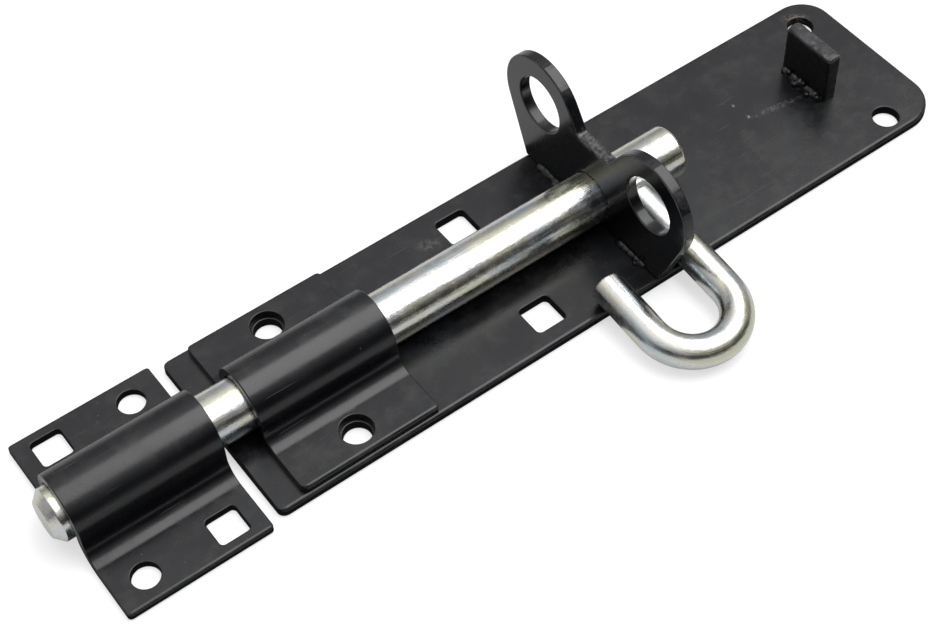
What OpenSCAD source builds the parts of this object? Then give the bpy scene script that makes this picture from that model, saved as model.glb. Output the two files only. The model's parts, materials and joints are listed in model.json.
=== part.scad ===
// Toggle bolt latch: a round bar slides through a strap guide and an eared bracket
// on a long back plate, and a U-shaped handle straddles one ear to lock it.
// Frame: origin on the back plate's rear face, at its centre and under the bar's axis.
// +X runs from the keep towards the plate's tail, +Y across the plate, +Z away from
// the mounting surface. Millimetres throughout.

/* [Bar] */
// diameter of the sliding bar
bar_d = 16; // [12:0.5:17]
// length of the sliding bar
bar_len = 209.5; // [202:0.5:225]
// how far the bar reaches past the back plate's keep end
bar_reach = 52; // [46:1:53]
// bevel on the bar's leading end
tip_bevel = 2.6; // [1:0.1:4]
// rounding on the bar's tail end
tail_round = 1.2; // [0.5:0.1:2]

/* [Back plate] */
// plate length
plate_len = 240; // [230:1:260]
// plate width
plate_w = 61.6; // [58:0.2:66]
// plate thickness
plate_t = 3; // [2.5:0.1:4]
// corner radius at the keep end
front_corner_r = 2.5; // [1:0.5:4]
// corner radius at the tail end, far side
tail_corner_far_r = 10; // [6:0.5:14]
// corner radius at the tail end, near side
tail_corner_near_r = 11.5; // [6:0.5:16]
// diameter of the round screw holes
screw_hole_d = 8; // [5:0.5:9]
// side of the back plate's square holes for coach bolts
square_hole = 10; // [8:0.5:11]

/* [Guide and keep] */
// sheet thickness of the bent straps
strap_t = 2.5; // [2:0.1:3]
// length of each strap along the bar
strap_len = 44; // [40:1:48]
// bend radius where a flange meets the barrel
strap_bend_r = 5.6; // [1:0.1:6]
// diameter of the screw holes in the guide's flanges
flange_hole_d = 9.6; // [8:0.1:10]
// keep width across its flanges
keep_w = 65.5; // [62:0.5:70]
// gap between the keep and the plate's end
keep_gap = 3.3; // [2:0.1:8]
// side of the keep's square holes
keep_square_hole = 9.2; // [8:0.2:10]

/* [Bracket and lug] */
// thickness of the eared bracket
bracket_t = 3.6; // [3:0.1:5]
// outside radius of each ear
ear_r = 15.8; // [14:0.1:17]
// diameter of the padlock hole in each ear
padlock_hole_d = 18; // [12:0.5:19]
// height of the saddle between the ears, above the plate's rear face
saddle_z = 31; // [28:0.5:33]
// height of the stop lug above the plate
lug_h = 17.5; // [14:0.5:20]
// width of the stop lug
lug_w = 19; // [16:0.5:22]

/* [Handle] */
// diameter of the handle's round bar
handle_d = 10; // [8:0.1:10.5]
// distance from the bar's axis to the handle's outermost edge
handle_reach = 65.4; // [63:0.1:70]
// distance from the bar's axis to the end of the free leg
free_leg_start = 26.5; // [24:0.5:30]
// how far the handle hangs below level at rest, degrees
handle_droop = 5.5; // [0:0.5:5.5]

/* [Hidden] */
$fn = 96;
bar_r = bar_d / 2;
// air under the bar, and around it in the two straps
bar_lift = 0.35;
strap_gap = 0.35;
// running clearance on radius in the bracket
bracket_gap = 0.08;
axis_z = plate_t + bar_r + bar_lift;
plate_x0 = -plate_len / 2;
plate_x1 = plate_len / 2;
plate_hw = plate_w / 2;
bar_x0 = plate_x0 - bar_reach;
bar_x1 = bar_x0 + bar_len;
// holes in the back plate
square_x = -25.5;
square_y = 20.2;
guide_cx = plate_x0 + 30;
guide_w = plate_w - 2;
guide_hole_y = 22.2;
tail_hole_near = [103, -24];
tail_hole_far = [109, 20.8];
// keep
keep_x1 = plate_x0 - keep_gap;
keep_cx = keep_x1 - strap_len / 2;
keep_hole_x = 12.4;
keep_hole_y = 24.8;
strap_bore_r = bar_r + strap_gap;
strap_out_r = strap_bore_r + strap_t;
// bend radius the guide's upright sides have room for
strap_bend = min(strap_bend_r, axis_z - plate_t - strap_t);
// where a strap's flat flange begins, measured from the bar's axis
flange_y0 = strap_out_r + strap_bend;
// bracket
bracket_x0 = 7.8;
bracket_x1 = bracket_x0 + bracket_t;
ear_y = 24.4;
ear_z = 29.3;
saddle_hw = 6.8;
// slot that opens the bore towards the plate
bore_notch_w = 6;
// weld beads
bead_r = 2.4;
bead_y0 = 11.5;
bead_y1 = 25.5;
lug_x0 = 92;
lug_y = 1.3;
lug_t = 5;
lug_bead_r = 2.8;
// handle: the attached leg stands behind the bracket
handle_r = handle_d / 2;
leg_gap = 2.5;
leg_pitch = 26.9;
leg_x = bracket_x1 + leg_gap + handle_r;
free_x = leg_x - leg_pitch;
bend_r = leg_pitch / 2;
bend_y = -(handle_reach - handle_r - bend_r);
handle_gap = 0.06;
handle_bead_r = 1.8;
bead_lift = 0.5;
// how far cutters reach past the faces they cut
over = 1;

// Direction from c to the point where a line from p touches a circle of radius r about
// c, and that point itself; side is 1 or -1.
function tangent_angle(p, c, r, side) =
    atan2(p[1] - c[1], p[0] - c[0]) + side * acos(r / norm(p - c));
function tangent_point(p, c, r, side) =
    c + r * [cos(tangent_angle(p, c, r, side)), sin(tangent_angle(p, c, r, side))];

function flip(p) = [-p[0], p[1]];

// Draw a profile given in (y, z) and extrude it along +X from x0.
module along_x(x0, length) {
    translate([x0, 0, 0])
        rotate([90, 0, 90])
            linear_extrude(height = length)
                children();
}

// Upright round cutter from below z = 0 to height z.
module drill(pos, d, z) {
    translate([pos[0], pos[1], -over])
        cylinder(d = d, h = z + 2 * over);
}

// Upright square cutter.
module punch(pos, side, z) {
    translate([pos[0] - side / 2, pos[1] - side / 2, -over])
        cube([side, side, z + 2 * over]);
}

module plate_outline() {
    f = front_corner_r;
    a = tail_corner_far_r;
    b = tail_corner_near_r;
    polygon([
        [plate_x0 + f, -plate_hw], [plate_x1 - b, -plate_hw],
        [plate_x1, -plate_hw + b], [plate_x1, plate_hw - a],
        [plate_x1 - a, plate_hw], [plate_x0 + f, plate_hw],
        [plate_x0, plate_hw - f], [plate_x0, -plate_hw + f]
    ]);
    translate([plate_x0 + f, plate_hw - f])
        circle(r = f);
    translate([plate_x0 + f, -plate_hw + f])
        circle(r = f);
    translate([plate_x1 - a, plate_hw - a])
        circle(r = a);
    translate([plate_x1 - b, -plate_hw + b])
        circle(r = b);
}

module back_plate() {
    color([0.09, 0.09, 0.10])
        difference() {
            linear_extrude(height = plate_t)
                plate_outline();
            for (side = [-1, 1]) {
                punch([square_x, side * square_y], square_hole, plate_t);
                drill([guide_cx, side * guide_hole_y], screw_hole_d, plate_t);
            }
            drill(tail_hole_near, screw_hole_d, plate_t);
            drill(tail_hole_far, screw_hole_d, plate_t);
        }
}

// Hat-shaped strap section in (y, z), its flanges standing on base_z.
module strap_section(width, base_z) {
    bend_z0 = base_z + strap_t + strap_bend;
    outer_bend = strap_bend + strap_t;
    difference() {
        union() {
            translate([0, axis_z])
                circle(r = strap_out_r);
            translate([-strap_out_r, base_z])
                square([2 * strap_out_r, axis_z - base_z]);
            translate([-width / 2, base_z])
                square([width, strap_t]);
            for (side = [-1, 1])
                difference() {
                    translate([side * (strap_out_r + strap_bend / 2), bend_z0 - strap_bend / 2])
                        square(strap_bend, center = true);
                    translate([side * flange_y0, bend_z0])
                        circle(r = strap_bend);
                }
        }
        translate([0, axis_z])
            circle(r = strap_bore_r);
        translate([-strap_bore_r, base_z - over])
            square([2 * strap_bore_r, axis_z - base_z + over]);
        translate([-width / 2, base_z - 2 * strap_out_r])
            square([width, 2 * strap_out_r]);
        for (side = [-1, 1])
            difference() {
                translate([side * (flange_y0 - outer_bend / 2), base_z + (outer_bend - over) / 2])
                    square([outer_bend, outer_bend + over], center = true);
                translate([side * flange_y0, bend_z0])
                    circle(r = outer_bend);
            }
    }
}

module front_guide() {
    color([0.11, 0.11, 0.12])
        difference() {
            along_x(guide_cx - strap_len / 2, strap_len)
                strap_section(guide_w, plate_t);
            for (side = [-1, 1])
                drill([guide_cx, side * guide_hole_y], flange_hole_d, plate_t + strap_t);
        }
}

// The keep is one pressed strap, drawn as its arch and its two flat flanges.
module keep_arch() {
    color([0.10, 0.10, 0.11])
        along_x(keep_cx - strap_len / 2, strap_len)
            intersection() {
                strap_section(keep_w, 0);
                translate([-flange_y0, 0])
                    square([2 * flange_y0, axis_z + strap_out_r + over]);
            }
}

// One flat flange of the keep with its square hole and its screw hole; side is 1 or -1.
module keep_flange(side) {
    color([0.11, 0.11, 0.12])
        difference() {
            translate([keep_cx, side * (flange_y0 + keep_w / 2) / 2, strap_t / 2])
                cube([strap_len, keep_w / 2 - flange_y0, strap_t], center = true);
            punch([keep_cx - side * keep_hole_x, side * keep_hole_y], keep_square_hole, strap_t);
            drill([keep_cx + side * keep_hole_x, side * keep_hole_y], screw_hole_d, strap_t);
        }
}

module keep_flange_far() {
    keep_flange(1);
}

module keep_flange_near() {
    keep_flange(-1);
}

// Bracket outline in (y, z): a web with a low saddle, and an ear at each side whose
// straight flanks touch its round top.
module bracket_outline() {
    c = [ear_y, ear_z];
    foot = [plate_hw, plate_t];
    saddle = [saddle_hw, saddle_z];
    half = [foot, tangent_point(foot, c, ear_r, 1), c, tangent_point(saddle, c, ear_r, -1), saddle];
    polygon([
        half[0], half[1], half[2], half[3], half[4],
        flip(half[4]), flip(half[3]), flip(half[2]), flip(half[1]), flip(half[0])
    ]);
    for (side = [-1, 1])
        translate([side * ear_y, ear_z])
            circle(r = ear_r);
}

module ear_bracket() {
    color([0.09, 0.09, 0.10])
        difference() {
            along_x(bracket_x0, bracket_t)
                bracket_outline();
            translate([bracket_x0 - over, 0, axis_z])
                rotate([0, 90, 0])
                    cylinder(r = bar_r + bracket_gap, h = bracket_t + 2 * over);
            translate([bracket_x0 - over, -bore_notch_w / 2, plate_t - over])
                cube([bracket_t + 2 * over, bore_notch_w, axis_z - plate_t]);
            for (side = [-1, 1])
                translate([bracket_x0 - over, side * ear_y, ear_z])
                    rotate([0, 90, 0])
                        cylinder(d = padlock_hole_d, h = bracket_t + 2 * over);
        }
}

// Quarter-round weld bead lying in the corner at x = face_x, on its -X side.
module foot_bead(face_x, y0, y1, r) {
    translate([face_x, y0, plate_t])
        rotate([-90, 0, 0])
            intersection() {
                cylinder(r = r, h = y1 - y0);
                translate([-2 * r, -2 * r, -over])
                    cube([2 * r, 2 * r, y1 - y0 + 2 * over]);
            }
}

module bracket_weld_near() {
    color([0.13, 0.13, 0.14])
        foot_bead(bracket_x0, -bead_y1, -bead_y0, bead_r);
}

module bracket_weld_far() {
    color([0.13, 0.13, 0.14])
        foot_bead(bracket_x0, bead_y0, bead_y1, bead_r);
}

module stop_lug() {
    color([0.12, 0.12, 0.13])
        translate([lug_x0, lug_y - lug_w / 2, plate_t])
            cube([lug_t, lug_w, lug_h]);
}

module lug_weld() {
    color([0.13, 0.13, 0.14])
        foot_bead(lug_x0, lug_y - lug_w / 2, lug_y + lug_w / 2, lug_bead_r);
}

module bolt_rod() {
    color([0.80, 0.82, 0.83])
        translate([bar_x0, 0, axis_z])
            rotate([0, 90, 0])
                rotate_extrude()
                    union() {
                        polygon([
                            [0, 0], [bar_r - tip_bevel, 0], [bar_r, tip_bevel],
                            [bar_r, bar_len - tail_round], [bar_r - tail_round, bar_len - tail_round],
                            [bar_r - tail_round, bar_len], [0, bar_len]
                        ]);
                        intersection() {
                            translate([bar_r - tail_round, bar_len - tail_round])
                                circle(r = tail_round);
                            translate([bar_r - tail_round, bar_len - tail_round])
                                square(tail_round);
                        }
                    }
}

// Turn the handle down about the bar's axis.
module droop() {
    translate([0, 0, axis_z])
        rotate([handle_droop, 0, 0])
            children();
}

// Round cutter standing for the sliding bar, with the handle's clearance around it.
module bar_cutter() {
    translate([leg_x - bar_d, 0, 0])
        rotate([0, 90, 0])
            cylinder(r = bar_r + handle_gap, h = 2 * bar_d);
}

module toggle_handle() {
    color([0.80, 0.82, 0.83])
        droop()
            difference() {
                union() {
                    translate([leg_x, 0, 0])
                        rotate([90, 0, 0])
                            cylinder(r = handle_r, h = -bend_y);
                    translate([free_x, -free_leg_start, 0])
                        rotate([90, 0, 0])
                            cylinder(r = handle_r, h = -bend_y - free_leg_start);
                    translate([(leg_x + free_x) / 2, bend_y, 0])
                        rotate([0, 0, 180])
                            rotate_extrude(angle = 180)
                                translate([bend_r, 0])
                                    circle(r = handle_r);
                }
                bar_cutter();
            }
}

// Bead around the attached leg's root.
module handle_weld() {
    ring_y = sqrt(pow(bar_r, 2) - pow(handle_r, 2)) + bead_lift;
    color([0.62, 0.63, 0.64])
        droop()
            difference() {
                translate([leg_x, -ring_y, 0])
                    rotate([90, 0, 0])
                        rotate_extrude()
                            translate([handle_r, 0])
                                circle(r = handle_bead_r);
                translate([leg_x, over, 0])
                    rotate([90, 0, 0])
                        cylinder(r = handle_r, h = 2 * bar_d);
                bar_cutter();
            }
}

back_plate();
front_guide();
ear_bracket();
bracket_weld_near();
bracket_weld_far();
stop_lug();
lug_weld();
bolt_rod();
toggle_handle();
handle_weld();
keep_arch();
keep_flange_far();
keep_flange_near();
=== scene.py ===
"""Looks of the toggle bolt latch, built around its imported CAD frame. Metres, in the row frame."""

import json
import math

import bmesh
import bpy
import numpy as np
from mathutils import Matrix, Vector, geometry, noise


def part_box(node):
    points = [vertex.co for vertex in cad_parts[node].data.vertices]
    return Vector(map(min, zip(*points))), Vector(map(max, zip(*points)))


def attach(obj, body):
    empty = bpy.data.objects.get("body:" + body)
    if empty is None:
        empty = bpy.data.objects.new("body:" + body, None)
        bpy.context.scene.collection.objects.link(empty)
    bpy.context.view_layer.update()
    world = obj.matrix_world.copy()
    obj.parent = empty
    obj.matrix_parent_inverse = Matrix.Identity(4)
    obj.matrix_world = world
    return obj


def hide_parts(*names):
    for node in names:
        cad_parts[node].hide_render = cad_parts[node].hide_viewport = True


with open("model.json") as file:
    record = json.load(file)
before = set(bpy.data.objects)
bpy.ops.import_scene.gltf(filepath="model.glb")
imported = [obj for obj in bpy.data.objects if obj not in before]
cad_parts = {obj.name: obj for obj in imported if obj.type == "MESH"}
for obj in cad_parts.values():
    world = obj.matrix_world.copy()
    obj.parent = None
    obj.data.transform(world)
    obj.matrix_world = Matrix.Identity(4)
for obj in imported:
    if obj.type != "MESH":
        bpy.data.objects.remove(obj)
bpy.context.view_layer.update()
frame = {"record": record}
MOUNTS = {m["name"]: m for m in frame["record"]["mounts"]}
OPENINGS = {o["name"]: o["box_m"] for o in frame["record"]["physics"]["openings"]}
MM = 0.001

# ---------------------------------------------------------------- sizes, in millimetres


def box(node):
    lo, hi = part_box(node)
    return np.array(lo) / MM, np.array(hi) / MM


PLATE_LO, PLATE_HI = box("back_plate")
GUIDE_LO, GUIDE_HI = box("front_guide")
KEEP_LO, KEEP_HI = box("keep_arch")
KEEP_HALF = box("keep_flange_far")[1][1]
BRACKET_LO, BRACKET_HI = box("ear_bracket")
LUG_LO, LUG_HI = box("stop_lug")
ROD_LO, ROD_HI = box("bolt_rod")

PLATE_T = PLATE_HI[2]
PLATE_HALF = PLATE_HI[1]
BAR_R = ROD_HI[1]
AXIS_Z = (ROD_LO[2] + ROD_HI[2]) / 2
STRAP_OUT = KEEP_HI[2] - AXIS_Z
STRAP_BEND = KEEP_HI[1] - STRAP_OUT
EAR_R = BRACKET_HI[1] - MOUNTS["padlock_hole_far"]["pos_m"][1] / MM
EAR_Z = MOUNTS["padlock_hole_far"]["pos_m"][2] / MM
EAR_Y = MOUNTS["padlock_hole_far"]["pos_m"][1] / MM
PADLOCK_R = MOUNTS["padlock_hole_far"]["dims"]["r_mm"]
SCREW_R = MOUNTS["tail_screw_far"]["dims"]["r_mm"]

# what no box or mount gives, as the CAD model has it
STRAP_T = 2.5
SADDLE_Z, SADDLE_HALF = 31.0, 6.8
BRACKET_BORE, NOTCH_HALF = BAR_R + 0.08, 3.0
GUIDE_HOLE_R = 4.8
HANDLE_R = 5.0
LEG_X = 18.9
FREE_X = -8.0
BEND_R = (LEG_X - FREE_X) / 2
BEND_Y = -46.94
FREE_START = -26.5
DROOP = math.radians(5.5)
# where the attached leg's rings begin, outside the bar, and the rounding of the free leg's end
LEG_START = -9.0
TIP_ROUND = 0.9


def centre(name):
    return np.array(MOUNTS[name]["pos_m"]) / MM


def square_of(opening, side):
    lo, hi = (np.array(c) / MM for c in OPENINGS[opening])
    mid = (lo + hi) / 2
    return mid[0], mid[1], side


# ---------------------------------------------------------------- flat outlines


def circle(cx, cy, r, count=64):
    a = np.arange(count) * 2 * math.pi / count
    return np.stack([cx + r * np.cos(a), cy + r * np.sin(a)], 1)


def arc(cx, cy, r, a0, a1, step=5.0):
    count = max(3, int(abs(a1 - a0) / step) + 1)
    a = np.radians(np.linspace(a0, a1, count))
    return np.stack([cx + r * np.cos(a), cy + r * np.sin(a)], 1)


def fillet(points, radii, step=11.0, closed=True):
    """The polygon with each corner rounded to its own radius."""
    pts = [np.array(p, float) for p in points]
    out = []
    for i, b in enumerate(pts):
        r = radii[i]
        ends = not closed and i in (0, len(pts) - 1)
        if r <= 0 or ends:
            out.append(b)
            continue
        u = pts[i - 1] - b
        v = pts[(i + 1) % len(pts)] - b
        u, v = u / np.linalg.norm(u), v / np.linalg.norm(v)
        half = math.acos(np.clip(u @ v, -1, 1)) / 2
        if half > math.radians(88):
            out.append(b)
            continue
        mid = b + (u + v) / np.linalg.norm(u + v) * r / math.sin(half)
        s, e = b + u * r / math.tan(half) - mid, b + v * r / math.tan(half) - mid
        a0 = math.atan2(s[1], s[0])
        turn = (math.atan2(e[1], e[0]) - a0 + math.pi) % (2 * math.pi) - math.pi
        count = max(3, int(abs(math.degrees(turn)) / step) + 2)
        for k in range(count):
            a = a0 + turn * k / (count - 1)
            out.append(mid + r * np.array([math.cos(a), math.sin(a)]))
    return np.array(out)


def rect(cx, cy, side, r):
    h = side / 2
    corners = [(cx - h, cy - h), (cx + h, cy - h), (cx + h, cy + h), (cx - h, cy + h)]
    return fillet(corners, [r] * 4)


def signed_area(loop):
    x, y = loop[:, 0], loop[:, 1]
    return 0.5 * np.sum(x * np.roll(y, -1) - np.roll(x, -1) * y)


def cut_at(loop, lines):
    """Adds a point wherever an edge of the loop crosses one of these second coordinates."""
    out = []
    for a, b in zip(loop, np.roll(loop, -1, 0)):
        out.append(a)
        low, high = min(a[1], b[1]), max(a[1], b[1])
        inside = [v for v in lines if low + 0.05 < v < high - 0.05]
        for v in sorted(inside, reverse=bool(a[1] > b[1])):
            out.append(a + (b - a) * (v - a[1]) / (b[1] - a[1]))
    return np.array(out)


def guarded(loop, closed=True, far=1.2, near=0.08):
    """Adds a point close to each end of the long edges, so that averaged normals stay true."""
    out = []
    following = np.roll(loop, -1, 0) if closed else loop[1:]
    for a, b in zip(loop, following):
        out.append(a)
        d = np.linalg.norm(b - a)
        if d > far:
            out += [a + (b - a) * near / d, b - (b - a) * near / d]
    if not closed:
        out.append(loop[-1])
    return np.array(out)


def outward(loop):
    """Unit normals pointing away from the material, and how much a corner stretches an offset."""
    e1 = loop - np.roll(loop, 1, 0)
    e2 = np.roll(loop, -1, 0) - loop
    e1 /= np.linalg.norm(e1, axis=1)[:, None]
    e2 /= np.linalg.norm(e2, axis=1)[:, None]
    n1 = np.stack([e1[:, 1], -e1[:, 0]], 1)
    n = n1 + np.stack([e2[:, 1], -e2[:, 0]], 1)
    n /= np.linalg.norm(n, axis=1)[:, None]
    return n, 1 / np.clip((n * n1).sum(1), 0.5, 1)


def inset(loop, d):
    n, mitre = outward(loop)
    return loop - n * (d * mitre)[:, None]


def inside(points, loops):
    """Even-odd test of many points against all the loops at once."""
    hit = np.zeros(len(points), bool)
    px, py = points[:, 0], points[:, 1]
    for loop in loops:
        for (x0, y0), (x1, y1) in zip(loop, np.roll(loop, -1, 0)):
            if y0 == y1:
                continue
            crosses = (y0 > py) != (y1 > py)
            hit ^= crosses & (px < (x1 - x0) * (py - y0) / (y1 - y0) + x0)
    return hit


def distance(points, loops):
    """Distance from each point to the nearest edge of the loops."""
    best = np.full(len(points), 1e9)
    for loop in loops:
        for a, b in zip(loop, np.roll(loop, -1, 0)):
            d = b - a
            t = np.clip(((points - a) @ d) / max(d @ d, 1e-12), 0, 1)
            best = np.minimum(best, np.linalg.norm(points - a - t[:, None] * d, axis=1))
    return best


# ---------------------------------------------------------------- mesh building


class Build:
    """Gathers vertices with their normals, wear and straightened place, and faces, in millimetres."""

    def __init__(self):
        self.co, self.no, self.wear, self.straight, self.faces = [], [], [], [], []

    def add(self, co, no, wear=0.0, straight=None):
        co = np.atleast_2d(co)
        first = sum(len(c) for c in self.co)
        self.co.append(co)
        self.no.append(np.broadcast_to(no, co.shape))
        self.wear.append(np.broadcast_to(wear, len(co)))
        self.straight.append(co if straight is None else np.atleast_2d(straight))
        return list(range(first, first + len(co)))

    def band(self, a, b, flip=False):
        """Quads between two closed rings of the same length."""
        n = len(a)
        for i in range(n):
            j = (i + 1) % n
            quad = (a[i], b[i], b[j], a[j])
            self.faces.append(quad[::-1] if flip else quad)

    def fan(self, ring, pole, flip=False):
        n = len(ring)
        for i in range(n):
            tri = (ring[i], pole, ring[(i + 1) % n])
            self.faces.append(tri[::-1] if flip else tri)

    def finish(self, name, custom_normals=True):
        co = np.concatenate(self.co) * MM
        no = np.concatenate(self.no)
        no = no / np.maximum(np.linalg.norm(no, axis=1), 1e-9)[:, None]
        mesh = bpy.data.meshes.new(name)
        mesh.from_pydata(co.tolist(), [], [tuple(f) for f in self.faces])
        mesh.validate()
        mesh.polygons.foreach_set("use_smooth", [True] * len(mesh.polygons))
        attribute = mesh.attributes.new("wear", "FLOAT", "POINT")
        attribute.data.foreach_set("value", np.concatenate(self.wear).astype(np.float32))
        attribute = mesh.attributes.new("straight", "FLOAT_VECTOR", "POINT")
        straight = (np.concatenate(self.straight) * MM).astype(np.float32)
        attribute.data.foreach_set("vector", straight.ravel())
        if custom_normals:
            mesh.normals_split_custom_set_from_vertices(no.tolist())
        obj = bpy.data.objects.new(name, mesh)
        bpy.context.scene.collection.objects.link(obj)
        return obj


def sheet(name, loops, depth, place, top_round, bottom_round, u_lines, v_lines, ease, side_wear_and_sheen=0.0):
    """A sheet of even thickness: outlines in the flat (u, v) plane, rounded along both faces' edges.
    place(uv) gives the top face's points, its normals, and the directions in which u and v grow.
    ease(k, uv, n) gives the share of the rounding kept at each point of outline k."""
    shape = []
    for k, loop in enumerate(loops):
        loop = np.array(loop, float)
        if (signed_area(loop) > 0) != (k == 0):
            loop = loop[::-1]
        shape.append(guarded(cut_at(loop, v_lines)))
    share = [ease(k, loop, outward(loop)[0]) for k, loop in enumerate(shape)]
    b = Build()

    def ring(loop, back, down, out, up, value):
        n, _ = outward(loop)
        p, nn, uu, vv = place(inset(loop, back))
        side = n[:, :1] * uu + n[:, 1:] * vv
        return b.add(p - down[:, None] * nn, out * side + up * nn, value)

    grid = np.array([(u, v) for u in u_lines for v in v_lines], float)
    rows = [[] for _ in shape]
    steps = (90, 67.5, 45, 22.5, 0)
    for k, loop in enumerate(shape):
        for a, value in zip(steps, (0.3, 0.8, 1.0, 0.45, side_wear_and_sheen)):
            c, s = math.cos(math.radians(a)), math.sin(math.radians(a))
            r = top_round * share[k]
            rows[k].append(ring(loop, r * (1 - c), r * (1 - s), c, s, value))
        for a, value in zip(steps[::-1], (side_wear_and_sheen, 0.25, 0.5, 0.4, 0.2)):
            c, s = math.cos(math.radians(a)), math.sin(math.radians(a))
            r = bottom_round * share[k]
            rows[k].append(ring(loop, r * (1 - c), depth - r * (1 - s), c, -s, value))
        for upper, lower in zip(rows[k], rows[k][1:]):
            b.band(upper, lower)
    for top in (True, False):
        radius = top_round if top else bottom_round
        edges_at = [inset(loop, radius * k) for loop, k in zip(shape, share)]
        guards = np.concatenate([inset(loop, radius * k + 0.5) for loop, k in zip(shape, share)])
        guards = guards[inside(guards, edges_at) & (distance(guards, edges_at) > 0.4)]
        fits = inside(grid, shape) & (distance(grid, shape) > radius + 0.9)
        flat = np.concatenate(edges_at + [guards, grid[fits]])
        owner, edges, at = [], [], 0
        for k, loop in enumerate(edges_at):
            owner += rows[k][0 if top else -1]
            n = len(loop)
            edges += [(at + i, at + (i + 1) % n) for i in range(n)]
            at += n
        p, nn, _, _ = place(flat[at:])
        owner += b.add(p if top else p - depth * nn, nn if top else -nn, 0.0)
        result = geometry.delaunay_2d_cdt(
            [Vector(q) for q in flat], edges, [], 0, 1e-7, True)
        out_co, faces, origin = result[0], result[2], result[3]
        mids = np.array([np.mean([out_co[i] for i in f], axis=0) for f in faces])
        keep = inside(mids, edges_at)
        for f, good in zip(faces, keep):
            if not good:
                continue
            tri = [owner[origin[i][0]] for i in f]
            b.faces.append(tri if top else tri[::-1])
    return b.finish(name)


def lathe(name, profile, axis_z, count=112):
    """A solid turned about the bar's axis; the profile is (x, radius) from one pole to the other."""
    prof = guarded(np.array(profile, float), closed=False)
    e = np.diff(prof, axis=0)
    e /= np.linalg.norm(e, axis=1)[:, None]
    t = np.vstack([e[:1], e[:-1] + e[1:], e[-1:]])
    t /= np.linalg.norm(t, axis=1)[:, None]
    normal = np.stack([-t[:, 1], t[:, 0]], 1)
    angle = np.arange(count) * 2 * math.pi / count
    cy, cz = np.cos(angle), np.sin(angle)
    b = Build()
    rings = []
    for (x, r), (nx, nr) in zip(prof[1:-1], normal[1:-1]):
        co = np.stack([np.full(count, x), r * cy, axis_z + r * cz], 1)
        no = np.stack([np.full(count, nx), nr * cy, nr * cz], 1)
        slope = min(abs(nx), abs(nr))
        straight = np.stack([np.full(count, x), r * cy, r * cz], 1)
        rings.append(b.add(co, no, slope * 1.3, straight))
    first = b.add([prof[0][0], 0, axis_z], [-1, 0, 0], 0, [prof[0][0], 0, 0])[0]
    last = b.add([prof[-1][0], 0, axis_z], [1, 0, 0], 0, [prof[-1][0], 0, 0])[0]
    for p, q in zip(rings, rings[1:]):
        b.band(q, p)
    b.fan(rings[0], first, flip=True)
    b.fan(rings[-1], last)
    return b.finish(name)


def fbm(p, scale, octaves=3):
    """Layered noise from about -1 to 1 at a point in millimetres."""
    v = Vector(p) * scale
    total, gain = 0.0, 1.0
    for _ in range(octaves):
        total += gain * noise.noise(v)
        v = v * 2.03 + Vector((7.1, 3.3, 5.7))
        gain *= 0.5
    return total


def fused(obj, voxel, smooth=2):
    """Joins a piece's overlapping closed parts into one skin, in millimetres."""
    remesh = obj.modifiers.new("fuse", "REMESH")
    remesh.mode = "VOXEL"
    remesh.voxel_size = voxel * MM
    remesh.use_smooth_shade = True
    soften = obj.modifiers.new("soften", "SMOOTH")
    soften.factor, soften.iterations = 0.5, smooth
    evaluated = obj.evaluated_get(bpy.context.evaluated_depsgraph_get())
    mesh = bpy.data.meshes.new_from_object(evaluated)
    old = obj.data
    obj.modifiers.clear()
    obj.data = mesh
    mesh.name = old.name
    bpy.data.meshes.remove(old)
    mesh.polygons.foreach_set("use_smooth", [True] * len(mesh.polygons))
    value = mesh.attributes.get("wear") or mesh.attributes.new("wear", "FLOAT", "POINT")
    value.data.foreach_set("value", np.full(len(mesh.vertices), 0.25, np.float32))
    return obj


def blob(b, mid, radius, squash=(1, 1, 1), seed=0.0):
    """A lumpy ball, added to a build."""
    rings, count = 9, 14
    mid = np.array(mid, float)
    rows = []
    for i in range(1, rings):
        polar = math.pi * i / rings
        pts = []
        for j in range(count):
            a = 2 * math.pi * j / count
            d = np.array([math.sin(polar) * math.cos(a), math.sin(polar) * math.sin(a), math.cos(polar)])
            r = radius * (1 + 0.22 * fbm(d * 1.3 + seed, 1.0))
            pts.append(mid + d * r * np.array(squash))
        rows.append(b.add(np.array(pts), [0, 0, 1], 0.3))
    top = b.add(mid + np.array([0, 0, radius * squash[2]]), [0, 0, 1], 0.3)[0]
    low = b.add(mid - np.array([0, 0, radius * squash[2]]), [0, 0, -1], 0.3)[0]
    for p, q in zip(rows, rows[1:]):
        b.band(p, q)
    b.fan(rows[0], top, flip=True)
    b.fan(rows[-1], low)


# ---------------------------------------------------------------- pieces: plate, straps, bracket


# share of the rounding left at the short ends and the holes
CRISP = 0.35


def rolled(k, uv, n):
    """Punching has rolled the long sides over; the short ends and the holes stay crisper."""
    return CRISP + (1 - CRISP) * n[:, 1] ** 2 if k == 0 else np.full(len(uv), CRISP)


def flat_place(z):
    def place(uv):
        n = len(uv)
        p = np.column_stack([uv, np.full(n, z)])
        one = np.ones((n, 1))
        return p, one * [0, 0, 1.0], one * [1.0, 0, 0], one * [0, 1.0, 0]
    return place


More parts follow.
